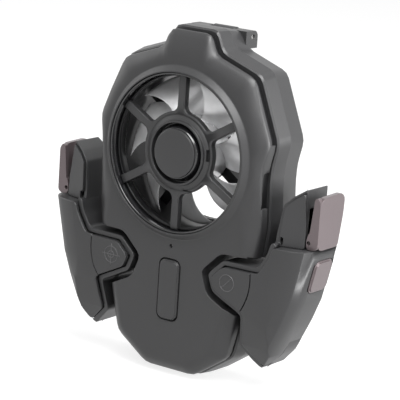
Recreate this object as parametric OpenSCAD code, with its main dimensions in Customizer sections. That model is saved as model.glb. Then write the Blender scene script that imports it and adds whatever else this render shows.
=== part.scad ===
// Phone cooling fan with a pair of sliding game grips.
// Millimetres. +X is to the right seen from the fan side, +Y points back towards the phone, +Z is up.
// The origin lies on the fan's axis, in the plane of the rubber seat that the phone rests on.
// Every depth named d is measured backwards from the front edge of the fan ring.

/* [Body] */
// Depth from the fan ring's front edge to the phone seat
seat_d = 30; // [29:0.5:34]
// Thickness of the rubber phone seat
seat_pad_t = 1; // [0.6:0.1:1.6]
// Depth of the flat front face behind the fan ring
face_d = 2.3; // [1.8:0.1:3]
// Greatest drop of the domed face from its flat middle to its edge
rim_drop = 5; // [3.5:0.1:5.4]
// Wall of the body shells
shell_t = 1.8; // [1.4:0.1:2.2]
// Depth of the front edge of the black slot round the upper body
slot_d = 8; // [7.8:0.1:8.4]
// Width of the black slot, front to back
slot_w = 2.8; // [2:0.1:3]
// Outward flare of the shells at their parting seam
flare = 1.9; // [1.6:0.1:2.4]
// Rise of the parting seam against the cover's outline
seam_lift = 0.8; // [0:0.1:1]
// Depth of the parting seam behind the fan ring
seam_d = 18.2; // [17.6:0.2:19]

/* [Body outline] */
// Half width of the tab's top edge
tab_top_x = 9.8; // [8:0.2:12]
// Height of the tab's top edge
tab_top_z = 49.4; // [49:0.2:53]
// Half width of the tab's root
tab_root_x = 13.1; // [12:0.1:15]
// Height of the tab's root
tab_root_z = 41.3; // [40.5:0.1:43]
// Half width at the shoulder corner
shoulder_x = 32.4; // [31:0.2:34]
// Height of the shoulder corner
shoulder_z = 34.5; // [34:0.2:37]
// Half width at the side corner
side_x = 42.5; // [42:0.1:44]
// Height of the side corner
side_z = 9.3; // [7:0.1:12]
// Half width at the waist
waist_x = 40; // [39.4:0.1:41]
// Half width at the hip, above the grip notch
hip_x = 41; // [40:0.1:42]
// Half width of the lower corner
foot_x = 27.8; // [27:0.2:30]
// Height of the lower corner, below the fan's axis
foot_z = 81.4; // [80:0.2:83]
// Half width of the flat bottom edge
chin_x = 12.2; // [10:0.2:14]
// Height of the bottom edge, below the fan's axis
chin_z = 92.2; // [91:0.2:96]

/* [Fan] */
// Radius of the fan ring's front edge
ring_r = 33; // [32:0.1:33.6]
// Width of the ring's outer cone on the front face
ring_cone_w = 2.7; // [2:0.1:3]
// Wall of the glossy duct liner
duct_t = 1; // [0.8:0.1:1.2]
// Depth of the duct liner's rear edge
duct_end_d = 10; // [9:0.2:11]
// Number of guard spokes
spoke_n = 6; // [5:1:8]
// Width of a guard spoke
spoke_w = 3.6; // [2.6:0.1:4]
// Thickness of a guard spoke
spoke_t = 3; // [2:0.1:3.4]
// Outer radius of the guard's hub
hub_r = 17; // [16:0.1:18]
// Radius of the round recess in the guard's hub
hub_recess_r = 12.3; // [11.5:0.1:13]
// Depth of the collar round the hub's recess
hub_d = 1.6; // [1:0.1:2]
// Depth of the flat front of the spokes and of the hub's outer ring
spoke_d = 3; // [2.6:0.1:3.6]
// Radius of the rounded roots of the spokes
root_r = 3; // [2:0.1:3.6]
// Radius of the centre disc
disc_r = 10; // [9:0.1:10.8]
// Number of fan blades
blade_n = 7; // [5:1:9]
// Running gap between the blade tips and the fan frame
tip_gap = 1; // [0.6:0.1:1.5]
// Radius of the rotor's hub
rotor_hub_r = 14; // [13:0.2:15]
// Radius of the rotor shaft
shaft_r = 1; // [0.8:0.1:1.2]
// Number of struts that carry the motor
strut_n = 4; // [3:1:5]

/* [Power key] */
// Width of the power key
power_w = 10; // [8:0.2:11]
// Length of the power key
power_l = 25.4; // [20:0.2:27]
// Height of the power key's centre, below the fan's axis
power_z = 57.2; // [56:0.2:58]
// Height of the power key above the flat face
power_up = 0.9; // [0.6:0.1:1.2]
// Travel of the power key
power_travel = 0.8; // [0.5:0.1:1]
// Gap between moving keys and their openings
key_gap = 0.3; // [0.25:0.05:0.4]
// Radius of the indicator hole
led_r = 0.75; // [0.5:0.05:1]
// Height of the indicator hole, below the fan's axis
led_z = 38.8; // [38.4:0.2:40]

/* [Phone clamp] */
// Half width of the hinge block on the tab
block_x = 13.8; // [13:0.2:15]
// Depth of the hinge block's rear face
block_d = 34.2; // [34:0.2:36]
// Half width of the clamp arm's knuckle
knuckle_x = 5.6; // [4.5:0.1:6.5]
// Depth of the clamp pin
clamp_pin_d = 30.9; // [30.8:0.1:31]
// Height of the clamp pin
clamp_pin_z = 46.8; // [46.6:0.1:47]
// Radius of the clamp pin
clamp_pin_r = 1.1; // [0.8:0.1:1.3]
// Thickness of phone that the clamp takes
phone_t = 8.8; // [8:0.1:9]

/* [Grips] */
// Travel of each grip out of the body
slide_travel = 32; // [20:1:32]
// Radius of the guide rods
rod_r = 1.8; // [1.4:0.1:2]
// Running clearance of the rods in their bushings
rod_fit = 0.06; // [0.03:0.01:0.1]
// Depth of the guide rods of the right grip
rod_right_d = 22.3; // [22.2:0.1:22.4]
// Depth of the guide rods of the left grip
rod_left_d = 16.5; // [16.2:0.1:16.6]
// Height of the upper guide rods, below the fan's axis
rod_top_z = 64.5; // [64:0.5:65]
// Height of the lower guide rods, below the fan's axis
rod_low_z = 74; // [73.5:0.5:75]
// Gap between the grips and the notch in the body
notch_gap = 2.6; // [2:0.1:3]
// Width of the tray's border round the cap and the key
lip_w = 2; // [1.6:0.1:2.4]
// Step from the cap's surface back to the tray's border
lip_drop = 1.8; // [1.4:0.1:2.2]
// Wall of the grip shells
grip_t = 1.8; // [1.4:0.1:2]
// Depth of the grip's front face
grip_d = 1; // [0.6:0.1:1.4]
// Depth of the grip's rear face
grip_end_d = 27.5; // [27:0.1:28]
// Travel of the icon keys
icon_travel = 0.8; // [0.5:0.1:1]
// Travel of the side buttons
side_travel = 1.2; // [0.8:0.1:1.4]
// Width of a side button, front to back
side_w = 12.6; // [11:0.2:13]
// Length of a side button
side_l = 14; // [11:0.2:14.4]
// Height of a side button above the grip's skin
side_up = 0.7; // [0.4:0.1:1]
// Swing of the triggers, degrees
trigger_swing = 9; // [5:0.5:9]
// Thickness of the trigger's skin
trigger_t = 2; // [1.6:0.1:2.2]
// Radius of the trigger pins
trigger_pin_r = 0.8; // [0.6:0.1:1]
// Distance from the fan's axis to a phone jaw's pad
jaw_x = 46.6; // [46:0.1:47.5]

/* [Hidden] */
$fn = 64;

// Colours as photographed
matte_grey = [0.24, 0.24, 0.245];
gloss_black = [0.05, 0.05, 0.055];
pearl = [0.55, 0.49, 0.51];
silver = [0.82, 0.82, 0.83];
steel = [0.62, 0.62, 0.64];
soft_black = [0.09, 0.09, 0.09];
board_green = [0.05, 0.3, 0.16];

// Small lengths shared by many pieces
eps = 0.01;
far = 200;
fit = 0.05;
seat = 0.3;

// Depths of the body's pieces
rear_d = seat_d - seat_pad_t;
rear_in_d = rear_d - shell_t;
rim_front_d = slot_d + slot_w;
wall_end_d = rim_front_d - 0.5;
shelf_d = rim_front_d + 1.6;
shelf_t = 1.5;
shelf_end_d = shelf_d + shelf_t;
vent_d = 6.2;
vent_z = [-16.5, -2];
tab_fall = 1.5;

// Turning a flat outline into a slab between two depths
module layer(d0, d1) {
    translate([0, d1 - seat_d, 0]) rotate([90, 0, 0]) linear_extrude(height = d1 - d0) children();
}

// A round bar along Y between two depths
module bar_y(d0, d1, r, x = 0, z = 0) {
    translate([x, d1 - seat_d, z]) rotate([90, 0, 0]) cylinder(h = d1 - d0, r = r);
}

// A round bar along X
module bar_x(x0, x1, r, d, z) {
    translate([x0, d - seat_d, z]) rotate([0, 90, 0]) cylinder(h = x1 - x0, r = r);
}

// A block given by its limits in x, depth and z
module block(x0, x1, d0, d1, z0, z1) {
    translate([x0, d0 - seat_d, z0]) cube([x1 - x0, d1 - d0, z1 - z0]);
}

// A rectangle with round corners
module round_rect(w, h, r) {
    square([w - 2 * r, h], center = true);
    square([w, h - 2 * r], center = true);
    for (x = [-1, 1], y = [-1, 1]) translate([x * (w / 2 - r), y * (h / 2 - r)]) circle(r);
}

// Left pieces are mirror images of the right ones
module hand(side) {
    if (side > 0) children();
    else mirror([1, 0, 0]) children();
}

function unit(v) = v / norm(v);
function turn_out(v) = [v[1], -v[0]];
function flat(list) = [for (part = list) for (item = part) item];
function mirrored(p) = concat(p, [for (i = [len(p) - 1:-1:0]) [-p[i][0], p[i][1]]]);
function before(p, i) = p[(i + len(p) - 1) % len(p)];
function after(p, i) = p[(i + 1) % len(p)];

// Moves every edge of an anticlockwise outline outwards by g
function grow(p, g) = [
    for (i = [0:len(p) - 1])
        let (m = turn_out(unit(p[i] - before(p, i))), n = turn_out(unit(after(p, i) - p[i])))
        p[i] + g * (m + n) / (1 + m * n)
];

// Replaces every corner by a short curve that starts a cut length before it
function soften(p, cut) = flat([
    for (i = [0:len(p) - 1])
        let (a = before(p, i) - p[i], b = after(p, i) - p[i])
        let (s = p[i] + unit(a) * min(cut, norm(a) * 0.4), e = p[i] + unit(b) * min(cut, norm(b) * 0.4))
        [s, (s + 2 * p[i] + e) / 4, e]
]);

// A closed skin through rings of [x, depth, z] points, front to back; its two ends are flat
module skin(rings) {
    n = len(rings[0]);
    last = len(rings) - 1;
    points = flat([for (ring = rings) [for (q = ring) [q[0], q[1] - seat_d, q[2]]]]);
    walls = flat([for (k = [0:last - 1]) flat([for (i = [0:n - 1]) let (j = (i + 1) % n)
        [[k * n + i, k * n + j, (k + 1) * n + j], [k * n + i, (k + 1) * n + j, (k + 1) * n + i]]])]);
    front = [for (i = [n - 1:-1:0]) i];
    back = [for (i = [0:n - 1]) last * n + i];
    polyhedron(points, concat([front], walls, [back]));
}

// Outline placed at one depth, and a skin through outlines at given depths
function at_depth(p, d) = [for (q = p) [q[0], d, q[1]]];
function raised(p, dz) = [for (q = p) [q[0], q[1] + dz]];

module loft(outlines, depths) {
    skin([for (k = [0:len(depths) - 1]) at_depth(outlines[k], depths[k])]);
}

// Body outline without the grip notches, clockwise half mirrored into an anticlockwise whole
body_half = [
    [chin_x, -chin_z], [foot_x, -foot_z], [32.6, -61.5], [39.6, -36.5], [hip_x, -25],
    [waist_x, -7], [waist_x + 0.3, 0], [side_x, side_z], [side_x + shoulder_x, side_z + shoulder_z] / 2,
    [shoulder_x, shoulder_z], [shoulder_x + tab_root_x, shoulder_z + tab_root_z] / 2, [tab_root_x, tab_root_z],
    [tab_top_x, tab_top_z]
];
body_plan = mirrored(body_half);
corner_cut = 2.6;

// Its top edge can be lowered, because the tab slopes down towards the back
function body_at(g, lower = 0) = soften([for (q = grow(body_plan, g)) q[1] > 45 ? [q[0], q[1] - lower] : q],
    corner_cut);

// The same outline drawn in to the fan ring above and to the flat chin below
ring_edge_r = ring_r + ring_cone_w;
core_plan = [for (i = [0:len(body_plan) - 1]) let (p = body_plan[i])
    p[1] > -30 ? p * (ring_edge_r + 1.2) / norm(p) : grow(body_plan, -6)[i]];
core_at = soften(core_plan, corner_cut);

// Depth of the cover's edge, which drops away with the distance from the ring
function edge_d(p) = face_d + min(rim_drop, 1.2 + 0.4 * (norm(p) - ring_edge_r));

// One ring of the domed face: t runs from the core to the edge, drop from 0 to 1
function dome_ring(edge, t, drop, back = 0) = [for (i = [0:len(edge) - 1])
    let (q = (1 - t) * core_at[i] + t * edge[i])
    [q[0], face_d + drop * (edge_d(edge[i]) - face_d) + back, q[1]]];

// Outline of the main part of the right grip, then of the horn above it
grip_top_z = -29.4;
grip_plan = [
    [48, grip_top_z], [46.6, -33], [42.6, -39.4], [26, -39.6], [18.7, -46.6], [21.4, -53.6],
    [35.6, -60.6], [33.7, -74], [43, -83], [49.8, -75.6], [56.5, -61.5], [60.2, -52],
    [65.25, grip_top_z]
];
horn_plan = [
    [58.6, -5.6], [53.8, -8.9], [49.8, -12.9], [48.3, -24], [48, grip_top_z + 0.1],
    [58.6, grip_top_z + 0.1]
];

// Inner side of the grip moved in by a, outer side moved in by b
function inner_side(a) = concat([[48 + a, grip_top_z]], [for (i = [1:7]) grow(grip_plan, -a)[i]],
    [[43 + 0.5 * a, -83 + a]]);
function outer_side(b) = concat([for (i = [9:11]) grow(grip_plan, -b)[i]], [[65.25 - 1.24 * b, grip_top_z - b]]);

// Notch that the grips leave in the body, open towards the side
notch_plan = concat(
    [[80, grip_plan[3][1] + notch_gap + 0.3]],
    [for (i = [3:7]) grow(grip_plan, notch_gap)[i]],
    [[foot_x + 1.2, -86], [80, -86]]
);
notch_cut = 2.2;

module notch(g = 0) {
    for (side = [-1, 1]) hand(side)
        layer(-20, 60) polygon(soften(grow(notch_plan, g), notch_cut));
}

// Case screws and their bosses
screw_spots = [[30.5, 27.2], [35.6, -22], [17.6, -82]];
screw_head_r = 2.2;
screw_head_t = 1.2;
screw_r = 0.95;
screw_boss_r = 2.7;
screw_tip_d = shelf_end_d + 0.4;

module at_screws() {
    for (side = [-1, 1], s = screw_spots) translate([side * s[0], 0, s[1]]) children();
}

// Front cover: domed plate with the fan ring, the key opening and the indicator hole
power_hole = [power_w + 2 * key_gap, power_l + 2 * key_gap];
power_corner = 3;
cone_lip = 0.4;
cone_k = 1.2;

// Small copy of the flat's outline inside the fan opening, so that the flat divides evenly from there
heart = 0.34;
function heart_ring(d) = at_depth([for (p = core_at) p * heart], d);

module cover_skin(back) {
    edge = body_at(0);
    skin([heart_ring(face_d), dome_ring(edge, 0, 0), dome_ring(edge, 0.5, 0.26), dome_ring(edge, 0.82, 0.58),
          dome_ring(edge, 0.95, 0.8), dome_ring(edge, 1, 1), at_depth(edge, back)]);
}

module cover_hollow() {
    edge = body_at(-shell_t);
    skin([heart_ring(face_d + shell_t), dome_ring(edge, 0, 0, shell_t), dome_ring(edge, 0.82, 0.58, shell_t),
          dome_ring(edge, 1, 1, shell_t - 0.3), at_depth(edge, shelf_d + 1)]);
}

// A closed band that follows the body's outline between two insets
module outline_band(g_out, g_in, d0, d1) {
    difference() {
        loft([body_at(g_out), body_at(g_out)], [d0, d1]);
        loft([body_at(g_in), body_at(g_in)], [d0 - 1, d1 + 1]);
    }
}

module front_cover() {
    color(matte_grey) difference() {
        union() {
            difference() {
                cover_skin(wall_end_d);
                cover_hollow();
                block(-far, far, slot_d, far, side_z, far);
                for (side = [-1, 1]) hand(side) block(20, 80, vent_d, far, vent_z[0], vent_z[1]);
            }
            // Tongue that locates in the mid frame, and the walls along the notches
            intersection() {
                translate([0, shell_t / 2, 0]) cover_skin(shelf_d - shell_t / 2);
                union() {
                    outline_band(-shell_t - 0.2, -shell_t - 1.6, 1, shelf_d + 1);
                    difference() {
                        loft([body_at(-shell_t - 0.2), body_at(-shell_t - 0.2)], [1, shelf_d + 1]);
                        difference() {
                            block(-far, far, -5, far, -far, far);
                            notch(shell_t);
                        }
                    }
                }
            }
            translate([0, -seat_d, 0]) rotate([-90, 0, 0]) cylinder(h = face_d * cone_k, r1 = ring_r + cone_lip,
                r2 = ring_r + cone_lip + (ring_cone_w - cone_lip) * cone_k);
            bar_y(face_d + 0.9, shelf_d, fan_r);
            // Skirt round the power key
            translate([0, 0, -power_z]) layer(face_d + 1, face_d + 4)
                round_rect(power_hole[0] + 2, power_hole[1] + 2, power_corner + 1);
        }
        notch();
        bar_y(-5, far, ring_r);
        translate([0, 0, -power_z]) layer(-5, far) round_rect(power_hole[0], power_hole[1], power_corner);
        bar_y(-5, far, led_r, 0, -led_z);
    }
}

// Black band at the bottom of the slot and of the two side vents
module trim_band() {
    color(gloss_black) difference() {
        intersection() {
            outline_band(-1, -shell_t - 0.15, vent_d + 0.02, rim_front_d - 0.02);
            union() {
                block(-far, far, slot_d + 0.02, far, side_z + 0.05, far);
                block(-far, far, vent_d, far, vent_z[0] + 0.05, vent_z[1] - 0.05);
            }
        }
        notch();
    }
}

// Mid frame: side wall behind the slot, and the inner shelf
fan_r = ring_r + shell_t;
shelf_bore_r = fan_r - 0.9;
plug_w = 9.2;
plug_h = 3.4;
plug_d = shelf_end_d + plug_h / 2 + fit;

module mid_skin(d0) {
    loft([raised(body_at(0.3), seam_lift * 0.4), raised(body_at(0.9), seam_lift * 0.5),
          raised(body_at(flare, tab_fall), seam_lift)], [d0, rim_front_d + 0.8, seam_d]);
}

module mid_frame() {
    color(matte_grey) difference() {
        union() {
            difference() {
                mid_skin(rim_front_d);
                loft([body_at(-shell_t - 0.15), body_at(-shell_t - 0.15)], [rim_front_d - 1, shelf_d]);
                loft([body_at(-shell_t), body_at(flare - shell_t, tab_fall)], [shelf_end_d, seam_d + 1]);
            }
            intersection() {
                mid_skin(rim_front_d);
                layer(shelf_d + eps, seam_d + 1) notch_plan_wall();
            }
            at_screws() bar_y(shelf_end_d - eps, seam_d, screw_boss_r);
        }
        notch();
        bar_y(-5, far, shelf_bore_r);
        at_screws() bar_y(screw_tip_d, far, screw_r + fit);
        rod_holes();
        block(-plug_w / 2 - seat, plug_w / 2 + seat, shelf_d - 1, plug_d + plug_h / 2 + seat,
              -chin_z - 10, -chin_z + 8);
        translate([0, 0, -power_z]) layer(shelf_d - 1, shelf_end_d + 1) square([6, 20], center = true);
    }
}

// The notch outlines grown by the wall, both sides
module notch_plan_wall() {
    for (side = [-1, 1]) mirror([side < 0 ? 1 : 0, 0, 0]) polygon(soften(grow(notch_plan, shell_t), notch_cut));
}

// Clearance holes for the guide rods in the side walls
module rod_holes() {
    for (z = [-rod_top_z, -rod_low_z]) {
        bar_x(15, 60, rod_r + 0.5, rod_right_d, z);
        bar_x(-60, -15, rod_r + 0.5, rod_left_d, z);
    }
}

// Rear housing: rear shell with the air outlet and the hinge block for the clamp arm
outlet_r = ring_r - 2;
lug_gap = 0.4;
lug_z0 = clamp_pin_z - 4.6;
block_round = 2.6;
hook_t = 2;
hook_reach = 6.5;
knuckle_r = 3.1;
hook_far = phone_t + seat_d - clamp_pin_d + hook_t;
pocket_x = block_x - 0.2;
pocket_z = clamp_pin_z - norm([hook_far, hook_reach]) - seat;

module hinge_block() {
    top = tab_top_z;
    block(-block_x, block_x, rear_d - 3, block_d - block_round, lug_z0, top);
    block(-block_x, block_x, rear_d - 3, block_d, lug_z0, top - block_round);
    bar_x(-block_x, block_x, block_round, block_d - block_round, top - block_round);
}

module rear_skin(d1) {
    loft([raised(body_at(flare, tab_fall), seam_lift), body_at(1.4, tab_fall), body_at(0.5, tab_fall)],
         [seam_d, rear_d - 1, d1]);
}

module rear_housing() {
    pocket_d = clamp_pin_d - hook_reach - 0.5;
    color(matte_grey) difference() {
        union() {
            difference() {
                rear_skin(rear_d);
                loft([body_at(flare - shell_t, tab_fall), body_at(1.2 - shell_t, tab_fall)], [seam_d - 1, rear_in_d]);
            }
            intersection() {
                rear_skin(rear_d);
                layer(seam_d - 1, rear_d - 0.5) notch_plan_wall();
            }
            // Pocket that the folded hook lies in
            intersection() {
                block(-pocket_x - shell_t, pocket_x + shell_t, pocket_d - shell_t, rear_d - 0.2,
                      pocket_z - shell_t, lug_z0 + 1);
                rear_skin(rear_d);
            }
            hinge_block();
            at_screws() bar_y(seam_d, rear_in_d + eps, screw_boss_r);
        }
        notch();
        bar_y(-5, far, outlet_r);
        bar_y(seam_d - 1, rear_in_d, fan_r + fit);
        block(-pocket_x, pocket_x, pocket_d, far, pocket_z, lug_z0);
        block(-knuckle_x - lug_gap, knuckle_x + lug_gap, clamp_pin_d - knuckle_r - lug_gap, far, lug_z0 - 1, far);
        bar_x(-block_x - 1, block_x + 1, clamp_pin_r + 0.02, clamp_pin_d, clamp_pin_z);
        at_screws() bar_y(seam_d - 1, far, screw_r + 0.25);
        at_screws() bar_y(rear_d - screw_head_t, far, screw_head_r + 0.2);
        rod_holes();
    }
}

module clamp_pin() {
    color(steel) bar_x(-block_x + 0.6, block_x - 0.6, clamp_pin_r, clamp_pin_d, clamp_pin_z);
}

// Clamp arm: hook folded down behind the tab
arm_t = 3;

module clamp_arm() {
    z0 = clamp_pin_z - hook_far;
    wide_top = clamp_pin_z - 6.4;
    color(matte_grey) difference() {
        union() {
            bar_x(-knuckle_x, knuckle_x, knuckle_r, clamp_pin_d, clamp_pin_z);
            block(-knuckle_x, knuckle_x, clamp_pin_d - arm_t / 2, clamp_pin_d + arm_t / 2, z0, clamp_pin_z);
            block(-pocket_x + 0.5, pocket_x - 0.5, clamp_pin_d - arm_t / 2, clamp_pin_d + arm_t / 2, z0, wide_top);
            block(-pocket_x + 0.5, pocket_x - 0.5, clamp_pin_d - hook_reach, clamp_pin_d, z0, z0 + hook_t);
        }
        bar_x(-20, 20, clamp_pin_r + 0.06, clamp_pin_d, clamp_pin_z);
    }
}

module clamp_pad() {
    z0 = clamp_pin_z - hook_far + hook_t;
    color(soft_black) block(-pocket_x + 1, pocket_x - 1, clamp_pin_d - hook_reach + 0.3,
                            clamp_pin_d - arm_t / 2, z0, z0 + 0.7);
}

// Rubber seat that the phone rests on, round the air outlet
module seat_pad() {
    color(soft_black) difference() {
        union() {
            bar_y(rear_d, seat_d, ring_r + 1.5);
            for (side = [-1, 1]) block(side * 8 - 5, side * 8 + 5, rear_d, seat_d, -78, -46);
        }
        bar_y(-5, far, outlet_r);
    }
}

// Glossy duct liner inside the fan ring
module duct_ring() {
    color(gloss_black) difference() {
        bar_y(0.5, duct_end_d, ring_r - 0.02);
        bar_y(-5, far, ring_r - duct_t);
    }
}

// Fan guard: hub, flat spokes with rounded roots, and the rim that sits in the duct
guard_r = ring_r - duct_t - 0.02;
collar_r = hub_recess_r + 1.1;
root_z = spoke_w / 2 + root_r;
root_x = sqrt(pow(hub_r + root_r, 2) - root_z * root_z);
rim_t = 0.9;

// One spoke along X with both of its rounded roots
module spoke_plan() {
    intersection() {
        translate([disc_r + 2, -spoke_w / 2]) square([guard_r, spoke_w]);
        circle(r = guard_r - fit);
    }
    for (side = [0, 1]) mirror([0, side]) difference() {
        polygon([[disc_r + 3, 0], [root_x, 0], [root_x, root_z], [disc_r + 3, root_z * (disc_r + 3) / root_x]]);
        translate([root_x, root_z]) circle(r = root_r);
    }
}

module fan_guard() {
    floor_d = spoke_d + spoke_t - 1;
    color(matte_grey) difference() {
        union() {
            layer(spoke_d, spoke_d + spoke_t) {
                circle(r = hub_r);
                for (i = [0:spoke_n - 1]) rotate([0, 0, 30 + i * 360 / spoke_n]) spoke_plan();
            }
            bar_y(hub_d, spoke_d + 1, collar_r);
            difference() {
                bar_y(spoke_d + 1.4, spoke_d + spoke_t + 2.4, guard_r);
                bar_y(-5, far, guard_r - rim_t);
            }
        }
        bar_y(-5, floor_d, hub_recess_r);
        // Fine step round the hub's face and two small slots
        difference() {
            bar_y(-5, spoke_d + 0.4, hub_r - 1.2);
            bar_y(-6, far, hub_r - 1.7);
        }
        block(14, 15.5, -1, spoke_d + 1.4, -1.2, 3.6);
        block(3.6, 7.8, -1, spoke_d + 1, -15.2, -14.6);
    }
}

module hub_cap() {
    color(matte_grey) bar_y(hub_d - 1.4, spoke_d + spoke_t - 1, disc_r);
}

// Fan frame: tube, motor seat and struts in one moulding
frame_d0 = duct_end_d + 0.2;
motor_plate_d = 20.4;
motor_plate_t = 1.6;
frame_in_r = ring_r - duct_t;
bearing_r = 2.6;

module fan_frame() {
    color(gloss_black) difference() {
        union() {
            bar_y(frame_d0, shelf_end_d + 1, ring_r - fit);
            bar_y(shelf_end_d, rear_in_d, fan_r);
        }
        bar_y(-5, far, frame_in_r);
    }
    color(gloss_black) difference() {
        union() {
            bar_y(motor_plate_d, motor_plate_d + motor_plate_t, rotor_hub_r);
            bar_y(motor_plate_d - 9, motor_plate_d + 1, bearing_r + 1.2);
            for (i = [0:strut_n - 1]) rotate([0, 35 + i * 360 / strut_n, 0])
                block(rotor_hub_r - 1, frame_in_r + 0.5, motor_plate_d, rear_in_d - 0.6, -2.2, 2.2);
        }
        bar_y(-5, far, bearing_r + 0.02);
    }
}

module bearing() {
    color(steel) difference() {
        bar_y(motor_plate_d - 8, motor_plate_d + 1, bearing_r);
        bar_y(-5, far, shaft_r + 0.04);
    }
}

module stator() {
    r = 10.6;
    core = 7.4;
    color("darkgoldenrod") difference() {
        union() {
            for (i = [0:7]) rotate([0, 45 * i, 0]) block(core - 0.5, r, motor_plate_d - 6, motor_plate_d - 0.4, -2, 2);
            bar_y(motor_plate_d - 6.4, motor_plate_d - 0.02, core);
        }
        bar_y(-5, far, bearing_r + 1.22);
    }
}

module rotor_shaft() {
    color(steel) bar_y(rotor_front_d + 1.2, motor_plate_d + 0.8, shaft_r);
}

// Rotor: cup over the motor with swept blades
rotor_front_d = 8.6;
rotor_cup_t = 1.2;
cup_end_d = motor_plate_d - 0.6;
magnet_t = 1.2;
blade_r = frame_in_r - tip_gap;
blade_span = 45;
blade_sweep = 20;
blade_d0 = 11.3;
blade_d1 = 19.3;
blade_half_t = 0.55;
blade_turn = 5.7;
blade_rows = 4;
blade_cols = 4;

// Point of a blade: u runs from hub to tip, v from the front edge to the rear edge
function blade_point(u, v, side) =
    let (r = rotor_hub_r - 0.6 + u * (blade_r - rotor_hub_r + 0.6))
    let (a = -blade_sweep * u * u + v * (blade_span - 4 * u))
    let (d = blade_d0 + (blade_d1 - blade_d0) * (v + 0.10 * sin(180 * v)) + side * blade_half_t)
    [r * cos(a), d - seat_d, r * sin(a)];

module blade() {
    cols = blade_cols + 1;
    face = (blade_rows + 1) * cols;
    points = [for (side = [-1, 1], i = [0:blade_rows], j = [0:blade_cols])
        blade_point(i / blade_rows, j / blade_cols, side)];
    skin = flat([for (i = [0:blade_rows - 1], j = [0:blade_cols - 1])
        let (a = i * cols + j, b = a + 1, c = a + cols, e = c + 1)
        [[a, b, c], [b, e, c], [a + face, c + face, b + face], [b + face, c + face, e + face]]]);
    ring = concat([for (j = [0:blade_cols]) j], [for (i = [1:blade_rows]) i * cols + blade_cols],
        [for (j = [blade_cols - 1:-1:0]) blade_rows * cols + j], [for (i = [blade_rows - 1:-1:1]) i * cols]);
    n = len(ring);
    edge = flat([for (k = [0:n - 1]) let (a = ring[k], b = ring[(k + 1) % n])
        [[a, a + face, b], [b, a + face, b + face]]]);
    polyhedron(points, concat(skin, edge));
}

module fan_rotor() {
    color(silver) difference() {
        union() {
            bar_y(rotor_front_d, cup_end_d, rotor_hub_r);
            for (i = [0:blade_n - 1]) rotate([0, blade_turn + i * 360 / blade_n, 0])
                mirror([1, 0, 0]) blade();
        }
        bar_y(rotor_front_d + rotor_cup_t, far, rotor_hub_r - rotor_cup_t);
    }
}

module rotor_magnet() {
    color(soft_black) difference() {
        bar_y(rotor_front_d + rotor_cup_t + 1, cup_end_d - 0.4, rotor_hub_r - rotor_cup_t - 0.01);
        bar_y(-5, far, rotor_hub_r - rotor_cup_t - magnet_t);
    }
}

// Electronics in the lower body
board_t = 1.2;

module main_board() {
    color(board_green) block(-12.5, 12.5, shelf_d - board_t, shelf_d, -87.2, -39.8);
}

module battery() {
    color("lightsteelblue") block(-12.5, 12.5, rear_in_d - 8.4, rear_in_d, -58.6, -38.6);
}

module usb_socket() {
    color(steel) difference() {
        block(-plug_w / 2, plug_w / 2, shelf_d, shelf_d + plug_h, -chin_z - 0.4, -chin_z + 7.6);
        block(-plug_w / 2 + 0.4, plug_w / 2 - 0.4, shelf_d + 0.4, shelf_d + plug_h - 0.4, -chin_z - 9, -chin_z + 6);
    }
}

module led_lens() {
    color("white") {
        bar_y(face_d + 1, face_d + shell_t + eps, led_r - fit, 0, -led_z);
        bar_y(face_d + shell_t + eps, shelf_d - board_t, led_r + 0.4, 0, -led_z - 0.2);
    }
}

module power_switch() {
    color(steel) {
        block(-2.6, 2.6, shelf_d - board_t - 1.6, shelf_d - board_t, -power_z - 2.6, -power_z + 2.6);
        bar_y(shelf_d - board_t - 2.1, shelf_d - board_t - 1.5, 1.3, 0, -power_z);
    }
}

module power_key() {
    key_end = shelf_d - board_t - 2.1 - power_travel - seat;
    color(matte_grey) translate([0, 0, -power_z]) {
        layer(face_d - power_up, face_d - power_up + 0.7) round_rect(power_w - 1, power_l - 1, power_corner - 0.5);
        layer(face_d - power_up + 0.7, face_d + 4 + seat) round_rect(power_w, power_l, power_corner);
        layer(face_d + 4 + seat, face_d + 5 + seat) round_rect(power_w + 2, power_l + 2, power_corner);
        if (key_end > face_d + 5 + seat) bar_y(face_d + 5, key_end, 1.5);
    }
}

module case_screws() {
    color(steel) at_screws() difference() {
        union() {
            bar_y(rear_d - screw_head_t, rear_d - 0.1, screw_head_r);
            bar_y(screw_tip_d + 0.3, rear_d - screw_head_t + eps, screw_r);
        }
        block(-1.5, 1.5, rear_d - 0.7, far, -0.3, 0.3);
        block(-0.3, 0.3, rear_d - 0.7, far, -1.5, 1.5);
    }
}

// Bushing blocks that guide the rods, with room for the springs
bush_x0 = 8;
bush_x1 = 25.4;
spring_x1 = 16;
spring_r = 2.4;
rail_wall = 0.5;
rod_x0 = -26;
rod_x1 = 46;

module rail_block(side, d, d0, d1) {
    half = spring_r + 0.2;
    color(soft_black) hand(side) difference() {
        block(bush_x0, bush_x1, d0, d1, -rod_low_z - half - 1.2, -rod_top_z + half + 1.2);
        for (z = [-rod_top_z, -rod_low_z]) {
            bar_x(0, 60, rod_r + rod_fit, d, z);
            bar_x(0, spring_x1, spring_r + 0.1, d, z);
        }
        block(bush_x0 - 1, bush_x1 + 1, d0 + 2, d1 - 2, -rod_low_z + half + 0.5, -rod_top_z - half - 0.5);
    }
}

module rods(side, d) {
    color(steel) hand(side) for (z = [-rod_top_z, -rod_low_z]) {
        bar_x(rod_x0, rod_x1, rod_r, d, z);
        bar_x(rod_x0, rod_x0 + 1.2, spring_r, d, z);
    }
}

module slide_springs(side, d) {
    color(steel) hand(side) for (z = [-rod_top_z, -rod_low_z]) difference() {
        bar_x(rod_x0 + 1.2 + eps, spring_x1 - eps, spring_r - 0.2, d, z);
        bar_x(rod_x0, far, rod_r + 0.1, d, z);
    }
}

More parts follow.
